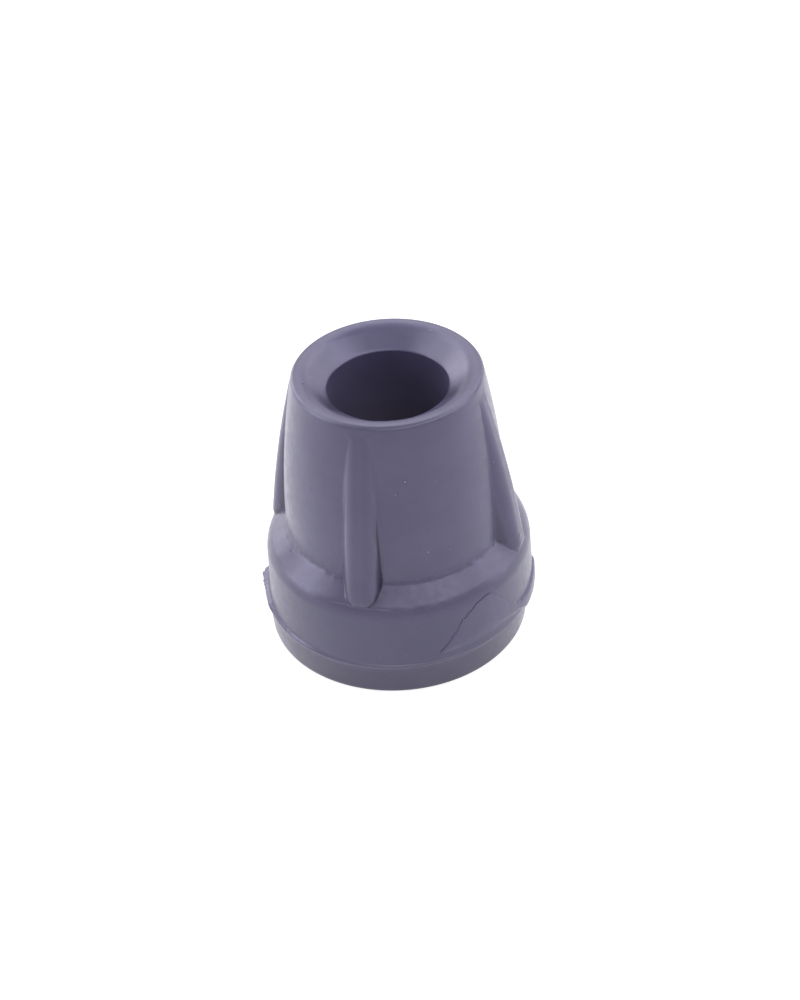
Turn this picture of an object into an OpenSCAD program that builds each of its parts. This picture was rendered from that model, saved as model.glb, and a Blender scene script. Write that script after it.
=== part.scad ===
// Rubber tip for a walking cane: one moulded piece that pushes on to the end of the shaft.
// Millimetres. +Z runs up along the bore, and the origin is on the bore's axis at the floor.

/* [Bore] */
// Inside diameter of the bore that grips the cane's shaft
bore_d = 19; // [12:0.5:25]
// Solid rubber left between the bore's floor and the ground
pad_t = 12; // [8:0.5:18]
// Radius in the corner of the bore's floor
bore_floor_r = 1.5; // [0.5:0.1:3]

/* [Mouth] */
// Width of the sloped lead-in round the bore, measured along the radius
funnel_w = 3.4; // [1:0.1:6]
// Depth of the lead-in below the rim
funnel_depth = 2.7; // [1:0.1:6]
// Width of the flat lip round the lead-in
lip_w = 2; // [1.4:0.1:4]
// Radius on the outer edge of the lip
lip_outer_r = 0.8; // [0.2:0.1:0.9]
// Radius on the inner edge of the lip
lip_inner_r = 0.8; // [0.2:0.1:1]

/* [Tower] */
// Height of the tower from the shoulder to the rim
tower_h = 27.7; // [20:0.1:45]
// How much the tower's radius grows from the rim down to the shoulder
tower_flare = 3.1; // [0.5:0.1:6]
// How far the tower's wall bows out between the rim and the shoulder
tower_bulge = 0.65; // [0.2:0.05:1]
// Radius of the fillet between the tower and the shoulder
foot_r = 1; // [0.3:0.1:2]

/* [Skirt] */
// Width of the sloped shoulder, measured along the radius
shoulder_w = 3.5; // [2.5:0.1:8]
// Height of the sloped shoulder
shoulder_h = 3.6; // [2:0.1:6]
// Radius on the edge between the shoulder and the skirt's wall
shoulder_r = 3.9; // [0.5:0.1:4.2]
// Height of the skirt's wall
skirt_h = 10.8; // [7:0.1:20]
// How much the skirt's radius grows from the shoulder down to the parting line
skirt_flare = 0.35; // [0.1:0.05:1]

/* [Tread] */
// Height of the tread disc below the skirt
tread_h = 5.9; // [4.5:0.1:10]
// How far the top of the tread disc is set in from the skirt's wall
tread_inset = 0.25; // [0.1:0.05:0.5]
// How much narrower the radius of the tread disc is at the floor than at its top
tread_draft = 0.4; // [0:0.1:2]
// How far the tread disc sits off the bore's axis, from the two mould halves being out of line
mould_shift = 0.7; // [0:0.1:1.2]
// Width of the thin lip of flash round the parting line
flash_w = 0.3; // [0.1:0.05:0.6]
// Thickness of the lip of flash
flash_t = 0.3; // [0.2:0.05:0.6]
// How far a torn tab of flash stands out past the lip
tab_w = 0.9; // [0.2:0.1:1.5]
// Radius of the tab's rounded outline
tab_r = 4; // [2.5:0.5:8]
// Where round the tread disc the tab is, in degrees
tab_turn = -172; // [-180:1:180]
// Height of the narrow groove above the parting line
groove_h = 0.8; // [0.3:0.1:2]
// Depth of the narrow groove above the parting line
groove_depth = 0.4; // [0.1:0.1:1]
// Radius on the bottom edge of the tread disc
tread_r = 0.4; // [0.2:0.1:1.5]

/* [Underside] */
// Number of ring grooves moulded into the underside for grip
ring_count = 3; // [1:1:4]
// Width of each ring groove
ring_w = 2; // [1:0.1:2.5]
// Depth of each ring groove
ring_depth = 2; // [1:0.1:3.5]
// Radius of the flat pad in the middle of the underside
pad_r = 4.5; // [2:0.5:5]

/* [Ribs] */
// Number of stiffening ribs round the tower
rib_count = 4; // [2:1:8]
// How far the ribs are turned round the bore from the +X axis, in degrees
rib_turn = -3.5; // [-10:0.5:10]
// Width of a rib just behind its rounded nose
rib_w = 5.8; // [5:0.1:8]
// Radius on each side of a rib's nose
rib_r = 2.3; // [1:0.1:2.4]
// How much each side of a rib leans out from its nose down to its root, in degrees
rib_draft = 6; // [2:1:12]
// Distance from the rim down to the highest point where a rib's nose clears the tower
rib_top_gap = 3.8; // [3:0.1:8]
// How far a rib's nose stands out of the tower at that point
rib_lift = 0.2; // [0.1:0.05:1]
// How far a rib's nose stays inside the skirt's wall at the shoulder
rib_inset = 0.25; // [0.2:0.05:1]
// How far the line of a rib's nose bows out between its ends
rib_bulge = 0.5; // [0.2:0.05:1]

/* [Torn flash] */
// Thickness of the film of flash that is folded up against the skirt
film_t = 0.3; // [0.2:0.05:0.5]
// Height of the film's lower edge above the parting line
film_base = 1.1; // [0.9:0.1:2]
// Height of the film itself where it stands highest
film_h = 8; // [5:0.1:9]
// Height of the low strip along the rest of the film
strip_h = 2.2; // [1:0.1:3]
// How far the low strip stands out of the skirt's wall
strip_w = 0.5; // [0.4:0.1:1]
// Where round the skirt the film starts, in degrees
film_start = -59; // [-80:1:-45]
// Where round the skirt the film stands highest, in degrees
film_peak = -32; // [-40:1:-25]
// Where round the skirt the film has dropped to the low strip, in degrees
film_drop = -14; // [-20:1:0]
// Where round the skirt the low strip ends, in degrees
strip_end = 14; // [5:1:60]

/* [Hidden] */
$fn = 96;
rubber = "#6f6b7c";
// How far cutting shapes run past what they cut
over = 1;
// How deep the ribs and the film are rooted in the wall that carries them
root = 1.5;

// Heights of the parting line, the shoulder's edge, the tower's foot, the rim and the bore
parting_z = tread_h;
edge_z = parting_z + skirt_h;
foot_z = edge_z + shoulder_h;
rim_z = foot_z + tower_h;
mouth_z = rim_z - funnel_depth;
floor_z = pad_t;

// Radii from the bore outwards
bore_r = bore_d / 2;
funnel_r = bore_r + funnel_w;
rim_r = funnel_r + lip_w;
foot_radius = rim_r + tower_flare;
skirt_r = foot_radius + shoulder_w;
skirt_low_r = skirt_r + skirt_flare;
tread_top_r = skirt_low_r - tread_inset;
tread_bottom_r = tread_top_r - tread_draft;
groove_r = skirt_low_r - groove_depth;

// The film's lower edge, how far the low strip laps over the film, in degrees, and how far it
// hangs below the film
film_z = parting_z + film_base;
strip_lap = 4;
strip_sag = 0.2;

// Ribs: the nose follows an arc between a point under the rim and a point at the shoulder's edge,
// and runs on past both ends until it is inside the tower and the skirt
rib_top_z = rim_z - rib_top_gap;
rib_top = [tower_r(rib_top_z) + rib_lift, rib_top_z];
rib_foot = [skirt_r - rib_inset, edge_z];
rib_chord = rib_top - rib_foot;
rib_arc_r = (norm(rib_chord) ^ 2 / 4 + rib_bulge ^ 2) / (2 * rib_bulge);
rib_centre = (rib_top + rib_foot) / 2
    - unit([rib_chord[1], -rib_chord[0]]) * (rib_arc_r - rib_bulge);
rib_from = bearing(rib_foot - rib_centre) - degrees_along(over);
rib_to = bearing(rib_top - rib_centre) + degrees_along(rib_top_gap - over);
rib_depth = rib_foot[0] - foot_radius + root;

// The underside's lands and grooves share the width between the middle pad and the edge
land_w = (tread_bottom_r - tread_r - pad_r - ring_count * ring_w) / ring_count;

// Radius of the tower's bowed wall, and of the skirt's flared wall, at a height
function tower_r(z) =
    let (s = (z - foot_z) / tower_h)
    foot_radius - tower_flare * s + 4 * tower_bulge * s * (1 - s);
function wall_r(z) = skirt_r + skirt_flare * (edge_z - z) / skirt_h;

// Turn that runs a length along a rib's arc, in degrees
function degrees_along(length) = length / rib_arc_r * 180 / PI;

// Points of an arc that rounds corner b of the outline a-b-c with radius r
arc_steps = 8;
// Number of straight steps that follow the tower's bowed wall
tower_steps = 8;
function unit(v) = v / norm(v);
function arc(c, r, a0, a1) =
    [for (i = [0 : arc_steps]) let (a = a0 + (a1 - a0) * i / arc_steps) c + r * [cos(a), sin(a)]];
function bearing(v) = atan2(v[1], v[0]);
function near_turn(d) = d > 180 ? d - 360 : d < -180 ? d + 360 : d;
function rounded(a, b, c, r) =
    let (u = unit(a - b),
         v = unit(c - b),
         half = acos(u * v) / 2,
         tangent = r / tan(half),
         centre = b + unit(u + v) * r / sin(half),
         a0 = bearing(b + u * tangent - centre),
         a1 = a0 + near_turn(bearing(b + v * tangent - centre) - a0))
    arc(centre, r, a0, a1);

// Half section of the part above the parting line, without the bore. Its underside slopes down
// into the tread disc.
module upper_section() {
    under = [groove_r - root, parting_z - groove_depth];
    wall_low = [wall_r(parting_z + groove_h), parting_z + groove_h];
    edge = [skirt_r, edge_z];
    foot = [foot_radius, foot_z];
    wall = [for (i = [1 : tower_steps - 1])
        let (z = foot_z + tower_h * i / tower_steps) [tower_r(z), z]];
    rim = [rim_r, rim_z];
    lip = [funnel_r, rim_z];
    polygon(concat(
        [[0, under[1]], under, [groove_r, parting_z], wall_low],
        rounded(wall_low, edge, foot, shoulder_r),
        rounded(edge, foot, wall[0], foot_r),
        wall,
        rounded(wall[tower_steps - 2], rim, lip, lip_outer_r),
        [[0, rim_z]]));
}

// Half section of the tread disc, with its thin lip of flash at the parting line
module tread_section() {
    lip_top = [tread_top_r + flash_w, parting_z];
    lip_low = [tread_top_r + flash_w, parting_z - flash_t];
    wall_top = [tread_top_r, parting_z - 2 * flash_t];
    corner = [tread_bottom_r, 0];
    polygon(concat(
        [[0, parting_z], lip_top, lip_low, wall_top],
        rounded(wall_top, corner, [0, 0], tread_r),
        [[0, 0]]));
}

// Half section of the bore with its floor corner, its sloped lead-in and the lip's inner edge
module bore_section() {
    lip_mid = [funnel_r + lip_w / 2, rim_z];
    lip = [funnel_r, rim_z];
    mouth = [bore_r, mouth_z];
    floor_corner = [bore_r, floor_z];
    polygon(concat(
        [[0, rim_z + over], lip_mid + [0, over], lip_mid],
        rounded(lip_mid, lip, mouth, lip_inner_r),
        [mouth],
        rounded(mouth, floor_corner, [0, floor_z], bore_floor_r),
        [[0, floor_z]]));
}

// Section across a rib, with its nose at x = 0
module rib_outline() {
    half = rib_w / 2 - rib_r;
    start = rib_r * [sin(rib_draft) - 1, cos(rib_draft)] + [0, half];
    end = [-rib_depth, start[1] + (rib_depth + start[0]) * tan(rib_draft)];
    for (side = [-1, 1])
        translate([-rib_r, side * half])
            circle(r = rib_r);
    translate([-rib_depth, -half])
        square([rib_depth, 2 * half]);
    polygon([start, end, [end[0], -end[1]], [start[0], -start[1]]]);
}

module rib() {
    translate([rib_centre[0], 0, rib_centre[1]])
        rotate([90, 0, 0])
            rotate([0, 0, rib_from])
                rotate_extrude(angle = rib_to - rib_from)
                    translate([rib_arc_r, 0])
                        rib_outline();
}

// Skin of rubber that squeezed out between the mould halves and folded up on the skirt
module skin(from, to, low_z, high_z, thickness) {
    rotate([0, 0, from])
        rotate_extrude(angle = to - from)
            polygon([
                [skirt_r - root, low_z], [wall_r(low_z) + thickness, low_z],
                [wall_r(high_z) + thickness, high_z], [skirt_r - root, high_z]]);
}

// Wedge that cuts the film down from its highest point towards one of its ends
module film_cut(end) {
    run = 2 * skirt_r * abs(sin((end - film_peak) / 2));
    fall = atan((film_h - strip_h) / run);
    sign = end > film_peak ? 1 : -1;
    rotate([0, 0, film_peak])
        translate([0, 0, film_z + film_h])
            rotate([-sign * fall, 0, 0])
                translate([0, sign > 0 ? 0 : -3 * skirt_r, 0])
                    cube([2 * skirt_r, 3 * skirt_r, 2 * film_h]);
}

module torn_film() {
    difference() {
        skin(film_start, film_drop, film_z, film_z + film_h, film_t);
        film_cut(film_start);
        film_cut(film_drop);
    }
    skin(film_drop - strip_lap, strip_end, film_z - strip_sag, film_z + strip_h, strip_w);
}

module ring_grooves() {
    for (i = [0 : ring_count - 1]) {
        inner = pad_r + i * (ring_w + land_w);
        translate([0, 0, -over])
            difference() {
                cylinder(r = inner + ring_w, h = ring_depth + over);
                translate([0, 0, -over])
                    cylinder(r = inner, h = ring_depth + 3 * over);
            }
    }
}

// Torn tab that widens the lip of flash at one place
module flash_tab() {
    rotate([0, 0, tab_turn])
        translate([tread_top_r + flash_w + tab_w - tab_r, 0, parting_z - flash_t])
            cylinder(r = tab_r, h = flash_t);
}

module tread() {
    translate([-mould_shift, 0, 0])
        difference() {
            union() {
                rotate_extrude() tread_section();
                flash_tab();
            }
            ring_grooves();
        }
}

module cane_tip() {
    color(rubber)
        difference() {
            union() {
                tread();
                rotate_extrude() upper_section();
                for (i = [0 : rib_count - 1])
                    rotate([0, 0, rib_turn + i * 360 / rib_count]) rib();
                torn_film();
            }
            rotate_extrude() bore_section();
        }
}

cane_tip();
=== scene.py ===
"""Looks of a moulded rubber cane tip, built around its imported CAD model.

The body is one spun section whose columns are then moved into four stiffening ribs, and whose lip
of flash is pulled out into a ragged tab. A torn skin of flash and a little dust are pieces of their
own.
Sizes in the classes are millimetres, and angles are degrees round the bore's axis from +X. The
finishes alone are in metres.
"""

import logging
import math
from dataclasses import dataclass, field
from enum import Enum

import bmesh
import bpy
from mathutils import Matrix, Vector, noise
from mathutils.bvhtree import BVHTree


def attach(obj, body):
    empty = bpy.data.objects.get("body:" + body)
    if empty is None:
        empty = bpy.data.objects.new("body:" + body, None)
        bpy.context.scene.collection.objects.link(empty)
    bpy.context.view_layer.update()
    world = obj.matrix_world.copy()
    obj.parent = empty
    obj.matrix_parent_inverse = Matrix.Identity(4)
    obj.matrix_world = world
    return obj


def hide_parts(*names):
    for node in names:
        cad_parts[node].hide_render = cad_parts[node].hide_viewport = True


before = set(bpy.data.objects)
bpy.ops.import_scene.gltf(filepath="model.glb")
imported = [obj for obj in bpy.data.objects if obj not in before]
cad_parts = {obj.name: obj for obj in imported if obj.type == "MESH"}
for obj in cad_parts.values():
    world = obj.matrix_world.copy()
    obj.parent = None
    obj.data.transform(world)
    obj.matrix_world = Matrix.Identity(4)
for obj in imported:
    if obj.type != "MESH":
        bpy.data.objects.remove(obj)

LOG = logging.getLogger("cane_tip")
MM = 0.001
BODY = "root"
NODE = "cane_tip"

Socket = bpy.types.NodeSocket
Span = tuple[float, float]
Points = tuple[Span, ...]
Shade = tuple[float, float, float]
Place = tuple[float, float, float]
Colour = tuple[float, float, float, float]
WHITE: Colour = (1.0, 1.0, 1.0, 1.0)


# ------------------------ small helpers


def linear(red: float, green: float, blue: float) -> Colour:
    """Turns a display colour into the linear colour that shaders take.

    Args:
        red: Red from 0 to 255.
        green: Green from 0 to 255.
        blue: Blue from 0 to 255.

    Returns:
        Linear red, green, blue and an alpha of 1.
    """
    parts = [c / 255 for c in (red, green, blue)]
    parts = [c / 12.92 if c <= 0.04045 else ((c + 0.055) / 1.055) ** 2.4 for c in parts]
    return (parts[0], parts[1], parts[2], 1.0)


def ramp(value: float, low: float, high: float) -> float:
    """Eases from 0 at low to 1 at high; low may be above high."""
    t = min(1.0, max(0.0, (value - low) / (high - low)))
    return t * t * (3 - 2 * t)


def mix(a: float, b: float, share: float) -> float:
    """Goes from a to b by a share from 0 to 1."""
    return a + (b - a) * share


def along(points: Points, x: float) -> float:
    """Reads a smooth line through a few (x, y) points.

    Args:
        points: The line's points, in order of x.
        x: Where the line is read.

    Returns:
        The line's height at x, held level beyond the ends.
    """
    if x <= points[0][0]:
        return points[0][1]
    for (x0, y0), (x1, y1) in zip(points, points[1:]):
        if x <= x1:
            t = (x - x0) / (x1 - x0)
            return mix(y0, y1, 0.5 * t + 0.5 * t * t * (3 - 2 * t))
    return points[-1][1]


def rough(place: Vector, size: float, seed: float = 0.0) -> float:
    """Smooth noise from -1 to 1 that changes over a size in millimetres."""
    return noise.noise(place / size + Vector((seed, seed * 0.7, -seed)))


def ring_place(angle: float, radius: float, height: float) -> Vector:
    """The place at an angle round the bore's axis, in millimetres."""
    turn = math.radians(angle)
    return Vector((radius * math.cos(turn), radius * math.sin(turn), height))


def bearing(place: Vector) -> float:
    """The angle of a place round the bore's axis, in degrees."""
    return math.degrees(math.atan2(place.y, place.x))


def make_piece(bm: bmesh.types.BMesh, name: str, finish: bpy.types.Material,
               crease: float = 60.0) -> bpy.types.Object:
    """Turns a bmesh in millimetres into a smooth-shaded piece in metres.

    Args:
        bm: The finished bmesh, which is freed.
        name: The piece's name.
        finish: Its material.
        crease: Edges that turn by more than this many degrees stay sharp.

    Returns:
        The new object, at the origin.
    """
    bmesh.ops.scale(bm, vec=(MM, MM, MM), verts=bm.verts)
    for face in bm.faces:
        face.smooth = True
    for edge in bm.edges:
        edge.smooth = not (edge.is_manifold and edge.calc_face_angle(0) > math.radians(crease))
    mesh = bpy.data.meshes.new(name)
    bm.to_mesh(mesh)
    bm.free()
    mesh.materials.append(finish)
    piece = bpy.data.objects.new(name, mesh)
    bpy.context.scene.collection.objects.link(piece)
    return piece


def search_tree(piece: bpy.types.Object) -> BVHTree:
    """Makes a tree that finds where a ray meets a piece.

    Args:
        piece: The finished piece.

    Returns:
        The search tree, in metres.
    """
    bm = bmesh.new()
    bm.from_mesh(piece.data)
    tree = BVHTree.FromBMesh(bm)
    bm.free()
    return tree


# ------------------------ material tools


@dataclass
class NodeBench:
    """A node tree with short ways to add and join nodes."""

    tree: bpy.types.NodeTree

    def add(self, kind: str, values: dict[str | int, float | Colour] | None = None,
            **settings: object) -> bpy.types.Node:
        """Adds a node.

        Args:
            kind: The node's type.
            values: Input values by socket name or number.
            settings: Properties of the node itself.

        Returns:
            The new node.
        """
        node = self.tree.nodes.new(kind)
        for key, value in settings.items():
            setattr(node, key, value)
        for key, value in (values or {}).items():
            node.inputs[key].default_value = value
        return node

    def join(self, source: Socket, target: Socket) -> None:
        """Links an output to an input."""
        self.tree.links.new(source, target)

    def maths(self, operation: str, first: Socket | float, second: Socket | float,
              clamp: bool = False) -> Socket:
        """Adds a Math node.

        Args:
            operation: The Math node's operation.
            first: A socket or a number.
            second: A socket or a number.
            clamp: True to hold the result between 0 and 1.

        Returns:
            The node's output.
        """
        node = self.add("ShaderNodeMath", operation=operation, use_clamp=clamp)
        for slot, part in enumerate((first, second)):
            if isinstance(part, Socket):
                self.join(part, node.inputs[slot])
            else:
                node.inputs[slot].default_value = part
        return node.outputs[0]

    def span(self, value: Socket, low: float, high: float,
             to_low: float = 0.0, to_high: float = 1.0) -> Socket:
        """Maps a value from one range to another with a smooth step.

        Args:
            value: The value to map.
            low: The value that gives to_low.
            high: The value that gives to_high.
            to_low: The result at low.
            to_high: The result at high.

        Returns:
            The mapped value's socket.
        """
        node = self.add("ShaderNodeMapRange", {"From Min": low, "From Max": high,
                                               "To Min": to_low, "To Max": to_high},
                        interpolation_type="SMOOTHSTEP")
        self.join(value, node.inputs["Value"])
        return node.outputs["Result"]

    def noise(self, vector: Socket, scale: float, detail: float = 2.0) -> Socket:
        """Adds a noise texture.

        Args:
            vector: The coordinates that it reads.
            scale: How often it repeats in a metre.
            detail: How many finer layers it has.

        Returns:
            The noise's socket, from 0 to 1.
        """
        node = self.add("ShaderNodeTexNoise", {"Scale": scale, "Detail": detail})
        self.join(vector, node.inputs["Vector"])
        return node.outputs["Fac"]

    def blend(self, factor: Socket, first: Socket | Colour, second: Socket | Colour) -> Socket:
        """Mixes two colours.

        Args:
            factor: How much of the second colour shows.
            first: A socket or a colour.
            second: A socket or a colour.

        Returns:
            The mixed colour's socket.
        """
        node = self.add("ShaderNodeMix", data_type="RGBA")
        self.join(factor, node.inputs["Factor"])
        for name, part in (("A", first), ("B", second)):
            socket = next(s for s in node.inputs if s.name == name and s.type == "RGBA")
            if isinstance(part, Socket):
                self.join(part, socket)
            else:
                socket.default_value = part
        return next(s for s in node.outputs if s.type == "RGBA")

    def group(self, tree: bpy.types.NodeTree, where: Socket, **values: float) -> Socket:
        """Adds a node group.

        Args:
            tree: The group.
            where: The coordinates that the group reads.
            values: The group's own input values.

        Returns:
            The group's output.
        """
        node = self.add("ShaderNodeGroup", values, node_tree=tree)
        self.join(where, node.inputs["Place"])
        return node.outputs[0]


def new_group(name: str, inputs: dict[str, float | None],
              output: str) -> tuple[NodeBench, bpy.types.Node, bpy.types.Node]:
    """Starts a shader node group.

    Args:
        name: The group's name.
        inputs: Input names with their default values, or None for a vector.
        output: Name of the one output.

    Returns:
        A bench on the group, and its Group Input and Group Output nodes.
    """
    group = bpy.data.node_groups.new(name, "ShaderNodeTree")
    for label, default in inputs.items():
        kind = "NodeSocketVector" if default is None else "NodeSocketFloat"
        socket = group.interface.new_socket(name=label, in_out="INPUT", socket_type=kind)
        if default is not None:
            socket.default_value = default
    group.interface.new_socket(name=output, in_out="OUTPUT", socket_type="NodeSocketFloat")
    bench = NodeBench(group)
    return bench, bench.add("NodeGroupInput"), bench.add("NodeGroupOutput")


@dataclass
class RubberEffects:
    """Node groups for what every rubber surface shows: moulded grain, mottling and dust."""

    mottle_span: Span = (0.3, 0.7)
    dot_span: Span = (0.16, 0.06)
    patch_span: Span = (0.62, 0.7)
    patch_scale: float = 260.0
    grain: bpy.types.NodeTree = field(init=False)
    mottle: bpy.types.NodeTree = field(init=False)
    dust: bpy.types.NodeTree = field(init=False)

    def __post_init__(self) -> None:
        """Builds the three groups."""
        self.grain = self._build_grain()
        self.mottle = self._build_mottle()
        self.dust = self._build_dust()

    def _build_grain(self) -> bpy.types.NodeTree:
        """Builds the fine texture that the mould leaves.

        Returns:
            A group whose output is a height from 0 to 1.5.
        """
        bench, given, out = new_group("Moulded grain", {"Place": None, "Fine scale": 4500.0,
                                                        "Wave scale": 420.0, "Wave share": 0.5},
                                      "Height")
        heights = []
        for label, detail in (("Fine scale", 3.0), ("Wave scale", 2.0)):
            node = bench.add("ShaderNodeTexNoise", {"Detail": detail})
            bench.join(given.outputs["Place"], node.inputs["Vector"])
            bench.join(given.outputs[label], node.inputs["Scale"])
            heights.append(node.outputs["Fac"])
        wave = bench.maths("MULTIPLY", heights[1], given.outputs["Wave share"])
        bench.join(bench.maths("ADD", heights[0], wave), out.inputs["Height"])
        return bench.tree

    def _build_mottle(self) -> bpy.types.NodeTree:
        """Builds the slow uneven shade of the surface.

        Returns:
            A group whose output goes from 0 to 1.
        """
        bench, given, out = new_group("Rubber mottle", {"Place": None, "Scale": 160.0}, "Shade")
        node = bench.add("ShaderNodeTexNoise", {"Detail": 4.0, "Roughness": 0.55})
        bench.join(given.outputs["Place"], node.inputs["Vector"])
        bench.join(given.outputs["Scale"], node.inputs["Scale"])
        bench.join(bench.span(node.outputs["Fac"], *self.mottle_span), out.inputs["Shade"])
        return bench.tree

    def _build_dust(self) -> bpy.types.NodeTree:
        """Builds the pin-point dust that settles on the surface in patches.

        Returns:
            A group whose output is a mask from 0 to 1.
        """
        bench, given, out = new_group("Settled dust", {"Place": None, "Scale": 1300.0,
                                                       "Amount": 0.5}, "Mask")
        cells = bench.add("ShaderNodeTexVoronoi", feature="F1")
        bench.join(given.outputs["Place"], cells.inputs["Vector"])
        bench.join(given.outputs["Scale"], cells.inputs["Scale"])
        dots = bench.span(cells.outputs["Distance"], *self.dot_span)
        chosen = bench.span(bench.noise(given.outputs["Place"], self.patch_scale),
                            *self.patch_span)
        mask = bench.maths("MULTIPLY", bench.maths("MULTIPLY", dots, chosen),
                           given.outputs["Amount"])
        bench.join(mask, out.inputs["Mask"])
        return bench.tree


@dataclass(frozen=True)
class RubberFinish:
    """Satin moulded rubber, with mottling, grain, dust and scuffs, and with painted shade and
    painted light.

    Shades are display colours from 0 to 255. Each scale is how often a noise repeats in a metre,
    and each span is the part of it that goes from nothing to full.
    """

    name: str
    shade: Shade = (72.0, 69.0, 96.0)
    mottled: Shade = (78.0, 75.0, 103.0)
    # darkest colour of the painted shade
    painted_shade_colour: Shade = (44.0, 42.0, 60.0)
    scuffed: Shade = (104.0, 100.0, 124.0)
    # colour of the painted light
    painted_light_colour: Shade = (120.0, 112.0, 126.0)
    dusty: Shade = (150.0, 147.0, 165.0)
    mottle_scale: float = 150.0
    scuff_scale: float = 900.0
    scuff_span: Span = (0.42, 0.66)
    scuff_depth: float = 3.0
    scuff_roughness: float = 0.12
    roughness: float = 0.32
    roughness_spread: float = 0.04
    roughness_scale: float = 700.0
    roughness_span: Span = (0.3, 0.7)
    shine_level: float = 0.85
    shine_tint: Colour = (0.78, 0.74, 1.0, 1.0)
    grain_height: float = 0.000012
    dust_amount: float = 0.4

    def build(self, effects: RubberEffects) -> bpy.types.Material:
        """Makes the material.

        Args:
            effects: The shared node groups.

        Returns:
            A material that reads Object coordinates, the piece's wear attribute and its attribute
            of painted shading, which darkens the colour as painted shade above 0 and lightens it as
            painted light below 0.
        """
        material = bpy.data.materials.new(self.name)
        material.use_nodes = True
        bench = NodeBench(material.node_tree)
        bench.tree.nodes.clear()
        out = bench.add("ShaderNodeOutputMaterial")
        shader = bench.add("ShaderNodeBsdfPrincipled", {"Specular IOR Level": self.shine_level,
                                                        "Specular Tint": self.shine_tint})
        bench.join(shader.outputs["BSDF"], out.inputs["Surface"])
        where = bench.add("ShaderNodeTexCoord").outputs["Object"]
        wear = bench.add("ShaderNodeAttribute", attribute_name="wear").outputs["Fac"]
        painted_shading = bench.add("ShaderNodeAttribute", attribute_name="painted_shading").outputs["Fac"]

        mottle = bench.group(effects.mottle, where, Scale=self.mottle_scale)
        colour = bench.blend(mottle, linear(*self.shade), linear(*self.mottled))
        patchy = bench.noise(where, self.scuff_scale, 3.0)
        worn = bench.maths("MULTIPLY", wear, bench.span(patchy, *self.scuff_span), clamp=True)
        colour = bench.blend(worn, colour, linear(*self.scuffed))
        # Painted shade darkens the colour where the shading attribute is above 0, and painted light
        # lightens it where the attribute is below 0.
        colour = bench.blend(bench.maths("MULTIPLY", painted_shading, 1.0, clamp=True), colour,
                             linear(*self.painted_shade_colour))
        colour = bench.blend(bench.maths("MULTIPLY", painted_shading, -1.0, clamp=True), colour,
                             linear(*self.painted_light_colour))
        dust = bench.group(effects.dust, where, Amount=self.dust_amount)
        colour = bench.blend(dust, colour, linear(*self.dusty))
        bench.join(colour, shader.inputs["Base Color"])

        uneven = bench.span(bench.noise(where, self.roughness_scale, 3.0), *self.roughness_span,
                            self.roughness - self.roughness_spread,
                            self.roughness + self.roughness_spread)
        rubbed = bench.maths("MULTIPLY", wear, self.scuff_roughness)
        bench.join(bench.maths("ADD", uneven, rubbed, clamp=True), shader.inputs["Roughness"])

        pits = bench.maths("MULTIPLY", wear, bench.maths("MULTIPLY", patchy, self.scuff_depth))
        height = bench.maths("ADD", bench.group(effects.grain, where), pits)
        bump = bench.add("ShaderNodeBump", {"Strength": 1.0, "Distance": self.grain_height})
        bench.join(height, bump.inputs["Height"])
        bench.join(bump.outputs["Normal"], shader.inputs["Normal"])
        return material


@dataclass(frozen=True)
class DustFinish:
    """Pale matt dust and lint."""

    name: str = "dust_fleck"
    pale: Shade = (158.0, 155.0, 172.0)
    grey: Shade = (122.0, 119.0, 136.0)
    shade_scale: float = 400.0
    shade_span: Span = (0.4, 0.6)
    roughness: float = 0.9

    def build(self) -> bpy.types.Material:
        """Makes the material.

        Returns:
            A material whose shade changes from fleck to fleck.
        """
        material = bpy.data.materials.new(self.name)
        material.use_nodes = True
        bench = NodeBench(material.node_tree)
        shader = bench.tree.nodes["Principled BSDF"]
        where = bench.add("ShaderNodeTexCoord").outputs["Object"]
        shade = bench.span(bench.noise(where, self.shade_scale, 3.0), *self.shade_span)
        bench.join(bench.blend(shade, linear(*self.grey), linear(*self.pale)),
                   shader.inputs["Base Color"])
        shader.inputs["Roughness"].default_value = self.roughness
        return material


# ------------------------ the torn film of flash


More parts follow.
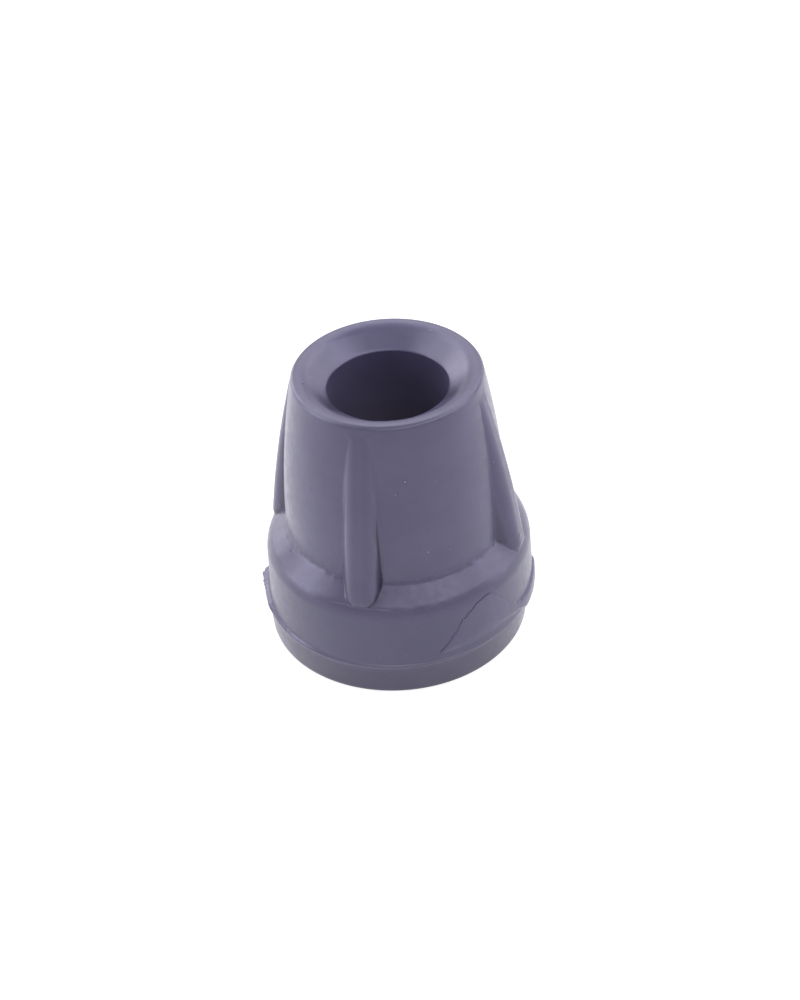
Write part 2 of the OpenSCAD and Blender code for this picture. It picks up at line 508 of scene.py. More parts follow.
@dataclass
class TornFilm:
    """The skin of flash that is folded up on the skirt, with its torn upper edge.

    It starts as a flat skin pressed to the wall and turns into a low rolled strip. Both edges are
    heights over angles.
    """

    wall_r: float = 22.04
    flare: float = 0.0324
    thickness: float = 0.6
    start: float = -60.0
    end: float = 17.0
    columns: int = 180
    rows: int = 22
    pressed: float = 0.13
    edge_thinning: float = 0.45
    rolled: float = 0.4
    roll_from: float = -24.0
    roll_to: float = -8.0
    ripple: float = 0.02
    # strength of the painted shadow along the torn edge
    painted_shading: float = 0.4
    shadow_end: Span = (-12.0, -16.0)
    top: Points = ((-60, 8.2), (-57, 9.1), (-53, 11.0), (-49.3, 13.0), (-45.7, 14.1),
                   (-41.5, 15.2), (-37.5, 15.7), (-34.5, 15.6), (-31, 14.6), (-27, 12.9),
                   (-22.8, 11.0), (-17.5, 9.3), (-14, 8.7), (-8, 8.5), (0, 8.7), (8, 9.2),
                   (14, 9.4), (17, 8.8))
    low: Points = ((-60, 7.8), (-48, 7.75), (-27, 7.9), (-16, 7.3), (-9, 5.9), (0, 5.8), (17, 6.0))

    def edge(self, angle: float) -> float:
        """Height of the torn edge at an angle."""
        ragged = 0.1 * rough(Vector((angle, 0, 0)), 2.3) + 0.06 * rough(Vector((angle, 5, 0)), 0.8)
        return along(self.top, angle) + ragged

    def shadow(self, angle: float, height: float) -> float:
        """How strong the painted shadow is along the torn edge, from 0 to 1."""
        inside = ramp(angle, self.start, self.start + 4) * ramp(angle, *self.shadow_end)
        return inside * ramp(abs(height - self.edge(angle) - 0.05), 0.4, 0.1)

    def place(self, angle: float, share: float) -> Vector:
        """A point of the film.

        Args:
            angle: The angle round the skirt.
            share: 0 at the lower edge and 1 at the torn edge.

        Returns:
            The point, in millimetres.
        """
        height = mix(along(self.low, angle), self.edge(angle), share)
        flat = self.pressed * (1 - self.edge_thinning * share ** 6) * ramp(share, -0.1, 0.25)
        roll = self.rolled * math.sqrt(max(0.0, 1 - (2 * share - 1) ** 4))
        off = mix(flat, roll, ramp(angle, self.roll_from, self.roll_to))
        off *= ramp(angle, self.end, self.end - 4)
        off += self.ripple * rough(Vector((angle, share * 8, 2)), 4.0)
        return ring_place(angle, self.wall_r - self.flare * height + off, height)

    def build(self, finish: bpy.types.Material) -> bpy.types.Object:
        """Lays a grid on the skirt, wraps it to its torn outline and gives it thickness.

        Args:
            finish: The film's material.

        Returns:
            The film's object.
        """
        bm = bmesh.new()
        bmesh.ops.create_grid(bm, x_segments=self.columns, y_segments=self.rows, size=0.5)
        painted_shading = bm.verts.layers.float.new("painted_shading")
        for vert in bm.verts:
            angle, share = mix(self.start, self.end, vert.co.x + 0.5), vert.co.y + 0.5
            vert.co = self.place(angle, share)
            # The film's own torn edge is darkened as painted shadow.
            vert[painted_shading] = self.painted_shading * self.shadow(angle, vert.co.z)
        bmesh.ops.recalc_face_normals(bm, faces=bm.faces)
        first = next(iter(bm.faces))
        if first.normal.dot(first.calc_center_median() * Vector((1, 1, 0))) < 0:
            bmesh.ops.reverse_faces(bm, faces=bm.faces)
        bmesh.ops.solidify(bm, geom=bm.faces[:], thickness=self.thickness)
        bmesh.ops.recalc_face_normals(bm, faces=bm.faces)
        return make_piece(bm, "torn_film", finish, 40.0)


# ------------------------ the moulded body


@dataclass(frozen=True)
class Corner:
    """A corner of the half section, with its rounding and the rows that follow it."""

    radius: float
    height: float
    rounding: float = 0.0
    segments: int = 2
    row: float = 2.0


@dataclass(frozen=True)
class RibLine:
    """How one rib strays from the pattern.

    It may stand out, be turned by some degrees, have its top elsewhere, and have its own
    amount of painted shade in the corner on its clockwise side.
    """

    proud: float = 0.0
    turn: float = 0.0
    top: float = 48.0
    # how strong the painted shade is in the corner on the rib's clockwise side
    painted_crevice_shade: float = 0.3


@dataclass
class RibShape:
    """A rib's cross-section: a round cap, a short flank and a fillet into the tower.

    The flank on a rib's clockwise side leans out more than the other. The painted shade in the
    corner beside a rib has a foot and a top, each given by the heights where it starts and where
    it is full.
    """

    cap_r: float = 2.3
    flat: float = 0.5
    flank_angle: float = 73.0
    lean_angle: float = 64.0
    fillet_r: float = 0.25
    shallow_fillet_r: float = 1.5
    foot_reach: float = 21.25
    foot_z: float = 16.7
    top_reach: float = 15.87
    top_z: float = 44.2
    bulge: float = 0.5
    zone: float = 18.0
    sink_z: float = 18.4
    sink_rate: float = 0.25
    top_slope: float = 0.5
    # heights that set the painted shade in the corner beside a rib
    painted_shade_widens: Span = (31.0, 20.0)
    painted_shade_top: Span = (37.0, 26.0)
    painted_shade_foot: Span = (17.2, 18.2)
    clockwise_painted_shade_top: Span = (30.0, 23.0)
    clockwise_painted_shade_foot: Span = (18.8, 20.2)
    cap_columns: int = 14
    flank_columns: int = 20
    fillet_columns: int = 29
    zone_columns: int = 36

    def reach(self, height: float, rib: RibLine) -> float:
        """How far out the rib's outer line is.

        Args:
            height: The height.
            rib: Which rib.

        Returns:
            The radius of the rib's outer line, which sinks into the tower near the rim and into
            the skirt at its foot.
        """
        share = (height - self.foot_z) / (self.top_z - self.foot_z)
        line = mix(self.foot_reach, self.top_reach, share) + 4 * self.bulge * share * (1 - share)
        line -= self.sink_rate * max(0.0, self.sink_z - height) ** 2
        return line + rib.proud - self.top_slope * max(0.0, height - rib.top + 0.5)

    def fillet_seat(self, tower: float, hub: float, fillet: float,
                    limit: float) -> tuple[Vector, float, float]:
        """Finds where the fillet sits between the rib and the tower.

        Args:
            tower: The tower's radius.
            hub: How far out the middle of the rib's cap is.
            fillet: The fillet's radius.
            limit: The angle in radians at which the cap passes into the flank.

        Returns:
            The fillet's centre, the angle where the cap ends, and the flank's length, or 0 where
            the fillet meets the cap itself.
        """
        slope = Vector((-math.sin(limit), math.cos(limit)))
        out = Vector((math.cos(limit), math.sin(limit)))
        start = Vector((hub, self.flat)) + (self.cap_r + fillet) * out
        drop = slope.dot(start)
        run = -drop - math.sqrt(max(0.0, drop ** 2 - start.length_squared + (tower + fillet) ** 2))
        if run >= 0:
            return start + run * slope, limit, run
        far = math.hypot(hub, self.flat)
        pull = (hub ** 2 + self.flat ** 2 + (tower + fillet) ** 2 - (self.cap_r + fillet) ** 2) / 2
        spread = math.acos(min(1.0, pull / (far * (tower + fillet))))
        angle = math.atan2(self.flat, hub) + spread
        centre = (tower + fillet) * Vector((math.cos(angle), math.sin(angle)))
        return centre, math.atan2(centre.y - self.flat, centre.x - hub), 0.0

    def point(self, column: int, tower: float, reach: float,
              clockwise: bool) -> tuple[float, float]:
        """Place of a column on the cross-section.

        Args:
            column: The column's number from the rib's middle line.
            tower: The tower's radius at this height.
            reach: The radius of the rib's outer line at this height.
            clockwise: True on the rib's clockwise side.

        Returns:
            Angle from the rib's middle line in radians, and radius.
        """
        proud, hub, flat = reach - tower, reach - self.cap_r, self.flat
        fillet = mix(self.shallow_fillet_r, self.fillet_r, ramp(proud, 0.5, 1.5)) * min(1.0, proud)
        limit = math.radians(self.lean_angle if clockwise else self.flank_angle)
        centre, end, run = self.fillet_seat(tower, hub, fillet, limit)
        foot = math.atan2(centre.y, centre.x)
        caps = mix(self.flank_columns, self.cap_columns, ramp(run, 0.0, 0.6))
        if column <= caps:
            place = column / caps * (flat + self.cap_r * end)
            turn = max(0.0, place - flat) / self.cap_r
            x = hub + self.cap_r * math.cos(turn)
            y = min(place, flat) + self.cap_r * math.sin(turn)
        elif column <= self.flank_columns:
            down = run * (column - caps) / (self.flank_columns - caps)
            x = hub + self.cap_r * math.cos(end) - down * math.sin(limit)
            y = flat + self.cap_r * math.sin(end) + down * math.cos(limit)
        elif column <= self.fillet_columns:
            share = (column - self.flank_columns) / (self.fillet_columns - self.flank_columns)
            turn = mix(end, foot, share)
            x, y = centre.x - fillet * math.cos(turn), centre.y - fillet * math.sin(turn)
        else:
            share = (column - self.fillet_columns) / (self.zone_columns - self.fillet_columns)
            turn = mix(foot, math.radians(self.zone), share)
            x, y = tower * math.cos(turn), tower * math.sin(turn)
        return math.atan2(y, x), math.hypot(x, y)

    def crevice(self, column: int, height: float, clockwise: bool) -> float:
        """How much painted shade lies in the corner beside a rib.

        Args:
            column: The column's number from the rib's middle line.
            height: The height.
            clockwise: True on the rib's clockwise side.

        Returns:
            Painted shade from 0 to 1. The shaded strip is widest near the rib's foot.
        """
        top, foot = ((self.clockwise_painted_shade_top, self.clockwise_painted_shade_foot) if clockwise
                     else (self.painted_shade_top, self.painted_shade_foot))
        low = ramp(height, *self.painted_shade_widens)
        first = self.cap_columns + 5 * (1 - low) if clockwise else self.cap_columns
        last = self.fillet_columns - 0.5 + 2 * low
        across = ramp(column, first - 1, first + 3) * ramp(column, last, last - 2.5)
        return across * ramp(height, *top) * ramp(height, *foot)


@dataclass(frozen=True)
class WearAndPaintedShade:
    """How strongly the scuffs, the painted shade and the painted light show on the body, from 0
    to 1, and where they lie.

    The front is the side near the camera's bearing, round which the scuffs, the shoulder's
    faults and the painted shade low on the skirt and tread lie. Each wedge of painted shade in the
    lead-in is an angle with the distances from it where the shade ends and where it is full.
    """

    front: float = -70.0
    far_side: float = 110.0
    # painted shade on faces that look upwards
    painted_top_shade: float = 0.25
    scuffs: float = 0.12
    # painted shade along the tower's foot crease
    foot: float = 0.35
    # painted shade low on the skirt and, stronger, on the tread's wall, towards the front
    skirt: float = 0.2
    tread: float = 0.7
    # painted shadow of the torn film's edge on the skirt
    film: float = 0.35
    # painted shade along the fine crack in the tread's wall, which has no groove
    crack: float = 0.8
    crack_z: float = 4.3
    crack_line: Points = ((2.0, -38.6), (4.4, -36.4), (6.5, -34.6))
    # painted light on the bore's wall, by height
    painted_bore_light: Points = ((30, 0.9), (33.5, 0.4), (37, 0.12), (42, 0.12), (45, 0))
    # painted shade in two wedges of the lead-in
    painted_shade_wedges: tuple[tuple[float, float, float], ...] = ((-134, 20, 9), (-8, 15, 6))


@dataclass
class MouldedBody:
    """The rubber body: bore, lead-in, tower with four ribs, shoulder, skirt and tread disc."""

    bore_r: float = 9.5
    floor_z: float = 12.0
    mouth_z: float = 45.3
    funnel_r: float = 13.0
    rim_r: float = 14.9
    tower_bulge: float = 0.65
    rim_z: float = 48.0
    foot_r: float = 18.0
    foot_z: float = 20.3
    skirt_r: float = 21.5
    skirt_low_r: float = 21.85
    edge_z: float = 16.7
    parting_z: float = 5.9
    tread_top_r: float = 21.6
    tread_bottom_r: float = 21.2
    mould_shift: float = 0.7
    rings: tuple[float, ...] = (17.37, 11.93, 6.5)
    ring_w: float = 2.0
    ring_depth: float = 2.0
    quarter: int = 120
    rib_turn: float = -3.5
    ribs: tuple[RibLine, ...] = (RibLine(proud=0.05, turn=-1.2, top=46, painted_crevice_shade=1.0), RibLine(),
                                 RibLine(proud=0.2, top=45), RibLine(turn=0.1))
    tab: Points = ((-184, 0), (-180, 0.35), (-177, 0.65), (-174, 0.95), (-172, 0.85),
                   (-167, 0.45), (-161, 0.22), (-156, 0.18), (-151, 0.16), (-145.5, 0))
    tab_height: float = 1.5
    slit_angle: float = -141.5
    slit_depth: float = 0.4
    ripple: float = 0.035
    foot_stray: float = 0.07
    flaw_stray: float = 0.07
    flaw_z: float = 18.2
    film: TornFilm = field(default_factory=TornFilm)
    rib: RibShape = field(default_factory=RibShape)
    signs: WearAndPaintedShade = field(default_factory=WearAndPaintedShade)

    def section(self) -> list[Corner]:
        """Lists the half section's corners.

        Returns:
            Corners from the middle of the bore's floor, over the rim, down the outside and back
            along the ground to the axis.
        """
        lip, deep = self.parting_z, self.ring_depth
        corners = [
            Corner(0, self.floor_z, row=2.6),
            Corner(self.bore_r, self.floor_z, 1.5, 4, 3.4),
            Corner(self.bore_r, self.mouth_z, 0.45, 4, 0.5),
            Corner(self.funnel_r, self.rim_z, 2.6, 8, 0.6),
            Corner(self.rim_r, self.rim_z, 0.7, 6, 0.6),
            *self.tower_corners(),
            Corner(self.foot_r, self.foot_z, 1.6, 8, 0.42),
            Corner(self.skirt_r, self.edge_z, 3.9, 12, 0.5),
            Corner(self.skirt_low_r, lip + 0.6, 0.3, 2, 0.15),
            Corner(self.skirt_low_r - 0.05, lip + 0.12, 0.05, 2, 0.4),
            Corner(self.tread_top_r + 0.22, lip, 0.12, 2, 0.3),
            Corner(self.tread_top_r + 0.22, lip - 0.25, 0.1, 1, 0.3),
            Corner(self.tread_top_r, lip - 0.55, 0.2, 2, 0.5),
            Corner(self.tread_bottom_r, 0, 0.4, 4, 0.7),
        ]
        for ring in self.rings:
            inner = ring - self.ring_w
            corners += [Corner(ring, 0, 0.2, 2), Corner(ring, deep, 0.25, 2),
                        Corner(inner, deep, 0.25, 2), Corner(inner, 0, 0.2, 2, 1.8)]
        return corners + [Corner(0, 0)]

    def tower_corners(self, steps: int = 8) -> list[Corner]:
        """Lists points of the tower's bowed wall.

        Args:
            steps: How many straight parts the wall is drawn with.

        Returns:
            The corners between the rim and the tower's foot, from the top down.
        """
        shares = [1 - step / steps for step in range(1, steps)]
        return [Corner(mix(self.foot_r, self.rim_r, s) + 4 * self.tower_bulge * s * (1 - s),
                       mix(self.foot_z, self.rim_z, s), row=0.72) for s in shares]

    def draw_section(self, bm: bmesh.types.BMesh, spacing: bmesh.types.BMLayerItem) -> None:
        """Draws the half section as a chain of edges with rounded corners and even rows.

        Args:
            bm: The empty bmesh to draw in.
            spacing: The edge layer that holds how far apart an edge's rows are.
        """
        corners = self.section()
        verts = [bm.verts.new((c.radius, 0, c.height)) for c in corners]
        for start, end, corner in zip(verts, verts[1:], corners):
            bm.edges.new((start, end))[spacing] = corner.row
        for before, corner, after, vert in zip(corners, corners[1:], corners[2:], verts[1:]):
            if corner.rounding:
                here = Vector((corner.radius, corner.height))
                one = Vector((before.radius, before.height)) - here
                two = Vector((after.radius, after.height)) - here
                bmesh.ops.bevel(bm, geom=[vert], affect="VERTICES", profile=0.5, material=-1,
                                offset=corner.rounding / math.tan(one.angle(two) / 2),
                                segments=corner.segments, clamp_overlap=False)
        for edge in list(bm.edges):
            row = edge[spacing]
            cuts = math.ceil(edge.calc_length() / row) - 1 if row else 0
            if cuts > 0:
                bmesh.ops.subdivide_edges(bm, edges=[edge], cuts=cuts)

    def build(self, finish: bpy.types.Material) -> bpy.types.Object:
        """Spins the section, moves its columns into the ribs and adds the moulding's faults.

        Args:
            finish: The rubber's material.

        Returns:
            The body's object.
        """
        bm = bmesh.new()
        spacing = bm.edges.layers.float.new("row")
        self.draw_section(bm, spacing)
        bmesh.ops.spin(bm, geom=bm.verts[:] + bm.edges[:], cent=(0, 0, 0), axis=(0, 0, 1),
                       angle=math.tau, steps=4 * self.quarter, use_merge=True)
        bm.edges.layers.float.remove(spacing)
        bmesh.ops.remove_doubles(bm, verts=bm.verts, dist=0.001)
        bmesh.ops.recalc_face_normals(bm, faces=bm.faces)
        wear = bm.verts.layers.float.new("wear")
        painted_shading = bm.verts.layers.float.new("painted_shading")
        for vert in bm.verts:
            vert[painted_shading] = self.shape(vert)
        bm.normal_update()
        for vert in bm.verts:
            vert[wear], painted_here = self.wear_and_painted_shade(vert.co, vert.normal.z)
            # Painted shade keeps the darker of the two; painted light below 0 takes the place of
            # both.
            vert[painted_shading] = max(painted_here, vert[painted_shading]) if painted_here >= 0 else painted_here
            vert.co += vert.normal * self.unevenness(vert.co)
        return make_piece(bm, "moulded_body", finish)

    def shape(self, vert: bmesh.types.BMVert) -> float:
        """Moves a spun vertex to its place on a rib, on the plain tower or on the tread disc.

        Args:
            vert: The vertex.

        Returns:
            The painted shade of the vertex if it lies in the corner beside a rib, from 0 to 1.
        """
        radius, painted_shading = math.hypot(vert.co.x, vert.co.y), 0.0
        if radius < 0.01:
            if vert.co.z < 1:
                vert.co.x -= self.mould_shift
            return painted_shading
        height = vert.co.z
        step = round(bearing(vert.co) / 360 * 4 * self.quarter)
        number = math.floor((step + self.quarter / 2) / self.quarter)
        side = step - number * self.quarter
        angle, column = self.column_angle(abs(side)), abs(side)
        rib = self.ribs[number % 4]
        if radius > self.funnel_r and self.edge_z - 1.5 < height < self.rim_z - 0.8 \
                and column <= self.rib.zone_columns:
            reach = self.rib.reach(height, rib)
            share = ramp(reach - radius, 0.0, 0.12)
            if share > 0:
                turned, out = self.rib.point(column, radius, reach, side < 0)
                angle, radius = mix(angle, turned, share), mix(radius, out, share)
                # Painted shade in the corner beside the rib.
                painted_crevice_shade = rib.painted_crevice_shade if side < 0 else 1.0
                painted_shading = share * painted_crevice_shade * self.rib.crevice(column, height, side < 0)
        turn = math.radians(90 * number + self.rib_turn
                            + rib.turn * ramp(abs(side), self.quarter / 2, self.rib.zone_columns))
        turn += math.copysign(angle, side)
        if radius > self.foot_r + 2:
            radius += self.flash_push(math.degrees(turn), height)
        vert.co.x, vert.co.y = radius * math.cos(turn), radius * math.sin(turn)
        if height < self.parting_z + 0.6:
            vert.co.x -= self.mould_shift * ramp(height, self.parting_z + 0.6, self.parting_z)
        return painted_shading

    def flash_push(self, angle: float, height: float) -> float:
        """How far the torn tab stands out of the parting line.

        Args:
            angle: The angle round the body.
            height: The height.

        Returns:
            The distance outwards, less the depth of the short slit next to the tab.
        """
        angle = (angle + 270) % 360 - 270
        above = height - self.parting_z
        level = ramp(above, self.tab_height, 0.0) * ramp(above, -0.6, -0.3)
        reach = along(self.tab, angle)
        ragged = 1 + 0.35 * rough(Vector((angle, 1, 0)), 1.6)
        ragged += 0.2 * rough(Vector((angle, 7, 0)), 0.7)
        slit = self.slit_depth * ramp(abs(angle - self.slit_angle), 10, 7)
        slit *= ramp(abs(above - 0.15), 0.4, 0.15)
        return reach * ragged * level - slit

    def column_angle(self, column: int) -> float:
        """Angle of a column of the plain tower.

        Args:
            column: The column's number from the nearest rib's middle line.

        Returns:
            The angle from that middle line, in radians.
        """
        zone, inside = self.rib.zone, self.rib.zone_columns
        if column <= inside:
            return math.radians(zone * column / inside)
        return math.radians(zone + (45 - zone) * (column - inside) / (self.quarter / 2 - inside))

    def unevenness(self, place: Vector) -> float:
        """How far the real moulding strays from its drawn shape.

        Args:
            place: The place.

        Returns:
            The distance outwards: a slow ripple, and finer faults at the tower's foot and on the
            front of the shoulder.
        """
        radius, off_front = math.hypot(place.x, place.y), abs(bearing(place) - self.signs.front)
        stray = self.ripple * rough(place, 6.0) if radius > self.rim_r and place.z > 1 else 0.0
        if radius > self.foot_r - 1.5:
            foot = ramp(abs(place.z - self.foot_z), 1.1, 0.1)
            stray += self.foot_stray * foot * rough(place, 0.9, 3.1)
            flaw = ramp(off_front, 24, 14) * ramp(abs(place.z - self.flaw_z), 2.2, 1.2)
            stray += self.flaw_stray * flaw * rough(place, 1.1, 7.7)
        return stray

    def wear_and_painted_shade(self, place: Vector, level: float) -> tuple[float, float]:
        """How much a place is scuffed, and how much painted shade and painted light it has.

        Args:
            place: The place.
            level: The upward part of the surface's normal there.

        Returns:
            Scuffs from 0 to 1, and painted shade from 0 to 1. Below 0 it is painted light instead.
        """
        radius, angle, signs = math.hypot(place.x, place.y), bearing(place), self.signs
        # Inside the bore the wall is lightened as painted light, most in its deeper part.
        if radius < self.bore_r + 0.1:
            return 0.0, -along(signs.painted_bore_light, place.z)
        # Faces that look upwards are darkened as painted shade, except on the far side.
        painted_shading = signs.painted_top_shade * ramp(level, 0.35, 0.7) * ramp(abs(angle - signs.far_side), 30, 60)
        # Two wedges of the lead-in beside the bore are darkened as painted shade.
        if radius < self.funnel_r and place.z > self.mouth_z - 1:
            shaded = max(ramp(abs(angle - middle), end, full) for middle, end, full in signs.painted_shade_wedges)
            return 0.0, max(painted_shading, shaded * ramp(radius, self.bore_r + 2.8, self.bore_r + 1.6))
        off_front, wear = abs(angle - signs.front), 0.0
        if radius > self.foot_r - 1:
            wear = signs.scuffs * ramp(off_front, 26, 12) * ramp(abs(place.z - 18.1), 2.4, 1.2)
        # A line along the tower's foot is darkened as painted shade in the crease.
        if radius > self.foot_r - 1.5:
            line = ramp(abs(place.z - self.foot_z - 0.35 - 0.25 * rough(place, 1.4)), 0.5, 0.1)
            painted_shading = max(painted_shading, signs.foot * line * (0.6 + 0.4 * rough(place, 2.0, 5.0)))
        # Painted shade low on the skirt and tread, the painted shadow of the torn film's edge on
        # the skirt, and the crack's painted dark line of shade.
        if radius > self.skirt_r - 1:
            painted_low_shade = mix(signs.skirt, signs.tread, ramp(place.z, self.parting_z, 4.0))
            painted_low_shade *= (1 + 0.4 * rough(place, 5.0, 2.0)) * ramp(off_front, 110, 50)
            painted_shading = max(painted_shading, painted_low_shade, signs.film * self.film.shadow(angle, place.z),
                       signs.crack * self.crack(angle, place.z))
        return wear, max(0.0, painted_shading)

    def crack(self, angle: float, height: float) -> float:
        """How near a place is to the fine crack in the tread's wall, from 0 to 1."""
        off_line = abs(angle - along(self.signs.crack_line, height))
        return ramp(off_line, 0.8, 0.2) * ramp(abs(height - self.signs.crack_z), 2.4, 1.8)


# ------------------------ dust


class SpeckKind(Enum):
    """What a speck is, with its half length, half width and half height."""

    GRAIN = (0.11, 0.09, 0.05)
    CRUMB = (0.2, 0.14, 0.08)
    LINT = (0.45, 0.1, 0.1)


@dataclass(frozen=True)
class Speck:
    """A speck of dust on the outside, or on the lip if it has a lip radius."""

    angle: float
    height: float
    lip_radius: float = 0.0
    turn: float = 0.0
    kind: SpeckKind = SpeckKind.GRAIN


@dataclass
class Dust:
    """The few specks and lint that lie on the rubber.

    Each is dropped on the rubber from outside and stands proud by a share of its half height.
    """

    from_r: float = 30.0
    from_above: float = 3.0
    proud: float = 0.4
    specks: tuple[Speck, ...] = (
        Speck(-158, 48, 13.0, 20, kind=SpeckKind.CRUMB), Speck(71, 48, 12.9),
        Speck(-42, 48, 13.2, 60), Speck(-123.5, 34.7), Speck(-68.8, 38.9, kind=SpeckKind.CRUMB),
        Speck(-74.2, 36.8, turn=70), Speck(-142.1, 19.4, turn=10, kind=SpeckKind.CRUMB),
        Speck(-111.2, 24.1), Speck(-60, 25.5, turn=120, kind=SpeckKind.CRUMB),
        Speck(-53.2, 22.3), Speck(-48.2, 24.8), Speck(-18.8, 20.3, turn=60, kind=SpeckKind.LINT),
        Speck(-85.5, 8.1, kind=SpeckKind.CRUMB), Speck(-74.6, 8.6),
        Speck(-48.9, 13.1, kind=SpeckKind.CRUMB), Speck(-67, 13.6), Speck(-105.4, 44.2),
        Speck(-12, 35.1), Speck(20, 30), Speck(64, 25.4, kind=SpeckKind.CRUMB), Speck(118, 37),
        Speck(141, 12.5), Speck(101, 18.6, kind=SpeckKind.CRUMB), Speck(33, 11.2),
    )

    def build(self, finish: bpy.types.Material, surface: BVHTree) -> bpy.types.Object:
        """Sets each speck down on the rubber.

        Args:
            finish: The dust's material.
            surface: The body's search tree, in metres.

        Returns:
            One object that holds every speck.
        """
        bm = bmesh.new()
        for speck in self.specks:
            if speck.lip_radius:
                start = ring_place(speck.angle, speck.lip_radius, speck.height + self.from_above)
                aim = Vector((0, 0, -1))
            else:
                start = ring_place(speck.angle, self.from_r, speck.height)
                aim = -ring_place(speck.angle, 1, 0)
            found, normal, _, _ = surface.ray_cast(start * MM, aim)
            if found is None:
                continue
            size = Matrix.Diagonal((*speck.kind.value, 1))
            stand = normal.to_track_quat("Z", "Y").to_matrix().to_4x4()
            spin = Matrix.Rotation(math.radians(speck.turn), 4, "Z")
            place = Matrix.Translation(found / MM + normal * speck.kind.value[2] * self.proud)
            bmesh.ops.create_icosphere(bm, subdivisions=2, radius=1,
                                       matrix=place @ stand @ spin @ size)
        return make_piece(bm, "dust_specks", finish)


# ------------------------ studio


@dataclass(frozen=True)
class SoftBox:
    """A square studio light that looks at the object, by its bearing and its height in degrees."""

    name: str
    bearing: float
    height: float
    power: float
    distance: float = 800.0
    width: float = 450.0


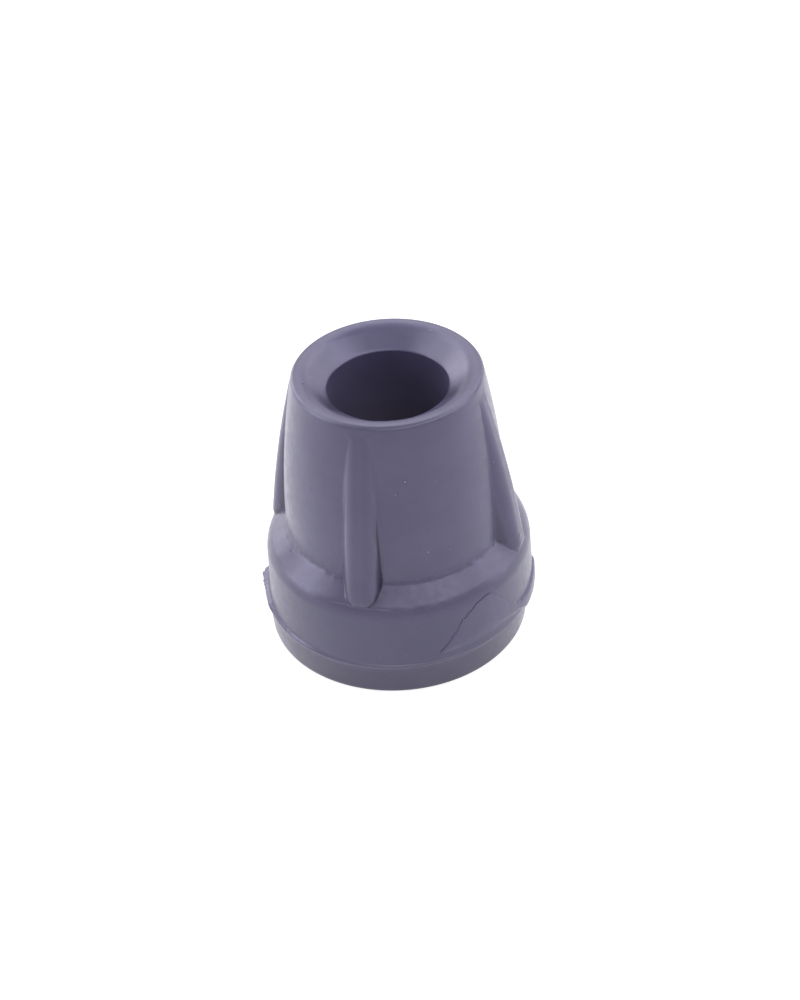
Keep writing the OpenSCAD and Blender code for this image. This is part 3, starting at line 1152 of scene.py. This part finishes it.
@dataclass
class Studio:
    """A pale floor, soft light and the camera, which is placed by its eye and its two axes."""

    eye: Place = (73.34, -258.37, 235.32)
    right: Place = (0.97209, 0.22807, -0.05505)
    up: Place = (-0.10013, 0.61547, 0.78178)
    lens: float = 76.32
    sensor: float = 36.0
    clip_m: Span = (0.01, 20.0)
    middle: Place = (0.0, 0.0, 25.0)
    boxes: tuple[SoftBox, ...] = (
        SoftBox("left_low", 195.7, 15, 2.1), SoftBox("left_high", 195.7, 45, 1.3),
        SoftBox("back_left_low", 150.7, 15, 1.7), SoftBox("back_left_high", 150.7, 45, 1.6),
        SoftBox("back_high", 105.7, 45, 1.0), SoftBox("back_right_low", 60.7, 15, 0.65),
        SoftBox("back_right_high", 60.7, 45, 1.5), SoftBox("right_low", 15.7, 15, 1.25),
        SoftBox("right_high", 15.7, 45, 1.4), SoftBox("right_front_high", -29.3, 45, 1.2),
        SoftBox("front_high", -74.3, 45, 0.75),
    )
    level: float = 0.18
    floor_reach: float = 3000.0
    floor_colour: Colour = (0.48, 0.48, 0.48, 1.0)
    floor_glow: float = 0.75
    floor_mirrored: float = 1.0

    def build(self) -> None:
        """Makes the floor, the world, the lights and the camera."""
        self.make_floor()
        self.make_world()
        for box in self.boxes:
            self.make_light(box)
        self.make_camera()
        bpy.context.scene.view_settings.view_transform = "Standard"

    def make_floor(self) -> None:
        """Lays a wide pale floor that keeps the object's soft shadow."""
        bm = bmesh.new()
        bmesh.ops.create_grid(bm, x_segments=8, y_segments=8, size=self.floor_reach)
        material = bpy.data.materials.new("pale_floor")
        material.use_nodes = True
        bench = NodeBench(material.node_tree)
        bench.tree.nodes.clear()
        out = bench.add("ShaderNodeOutputMaterial")
        matt = bench.add("ShaderNodeBsdfDiffuse", {"Color": self.floor_colour})
        glow = bench.add("ShaderNodeEmission", {"Color": WHITE})
        both = bench.add("ShaderNodeAddShader")
        path = bench.add("ShaderNodeLightPath")
        seen = bench.maths("MULTIPLY", path.outputs["Is Camera Ray"], self.floor_glow)
        mirrored = bench.maths("MULTIPLY", path.outputs["Is Glossy Ray"], self.floor_mirrored)
        bench.join(bench.maths("ADD", seen, mirrored), glow.inputs["Strength"])
        bench.join(matt.outputs[0], both.inputs[0])
        bench.join(glow.outputs[0], both.inputs[1])
        bench.join(both.outputs[0], out.inputs["Surface"])
        floor = make_piece(bm, "studio_floor", material)

    def make_world(self) -> None:
        """Lights the scene evenly, and shows white to the camera and to reflections."""
        world = bpy.data.worlds.new("studio_world")
        bpy.context.scene.world = world
        world.use_nodes = True
        bench = NodeBench(world.node_tree)
        bench.tree.nodes.clear()
        out = bench.add("ShaderNodeOutputWorld")
        plain = bench.add("ShaderNodeBackground", {"Color": WHITE, "Strength": self.level})
        white = bench.add("ShaderNodeBackground", {"Color": WHITE, "Strength": 1.0})
        both = bench.add("ShaderNodeMixShader")
        path = bench.add("ShaderNodeLightPath")
        shown = bench.maths("ADD", path.outputs["Is Camera Ray"], path.outputs["Is Glossy Ray"])
        bench.join(bench.maths("ADD", shown, path.outputs["Is Transmission Ray"], clamp=True),
                   both.inputs[0])
        bench.join(plain.outputs[0], both.inputs[1])
        bench.join(white.outputs[0], both.inputs[2])
        bench.join(both.outputs[0], out.inputs["Surface"])

    def make_light(self, box: SoftBox) -> None:
        """Hangs a soft box and turns it to the object.

        Args:
            box: Which soft box.
        """
        data = bpy.data.lights.new(box.name, "AREA")
        data.size = box.width * MM
        data.energy = box.power
        light = bpy.data.objects.new(box.name, data)
        bpy.context.scene.collection.objects.link(light)
        level = math.radians(box.height)
        away = ring_place(box.bearing, math.cos(level), math.sin(level))
        light.location = (Vector(self.middle) + box.distance * away) * MM
        light.rotation_mode = "QUATERNION"
        light.rotation_quaternion = away.to_track_quat("Z", "Y")

    def make_camera(self) -> None:
        """Sets the camera up at the viewing angle."""
        data = bpy.data.cameras.new("camera")
        data.lens, data.sensor_width = self.lens, self.sensor
        data.clip_start, data.clip_end = self.clip_m
        camera = bpy.data.objects.new("camera", data)
        bpy.context.scene.collection.objects.link(camera)
        right, up = Vector(self.right).normalized(), Vector(self.up).normalized()
        back = right.cross(up)
        turn = Matrix((right, up, back)).transposed().to_4x4()
        camera.matrix_world = Matrix.Translation(Vector(self.eye) * MM) @ turn
        bpy.context.scene.camera = camera


# ------------------------ assembly


def main() -> None:
    """Builds the pieces in order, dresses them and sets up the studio."""
    logging.basicConfig(level=logging.INFO, format="%(message)s")
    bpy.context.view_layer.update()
    effects = RubberEffects()
    rubber = RubberFinish("moulded_rubber").build(effects)
    skin = RubberFinish("flash_rubber", dust_amount=0.2).build(effects)
    lint = DustFinish().build()

    film = TornFilm()
    body = MouldedBody(film=film).build(rubber)
    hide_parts(NODE)
    pieces = [body, film.build(skin)]
    pieces.append(Dust().build(lint, search_tree(body)))
    for piece in pieces:
        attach(piece, BODY)
        LOG.info("%s: %d faces", piece.name, len(piece.data.polygons))

    Studio().build()


if __name__ == "__main__":
    main()
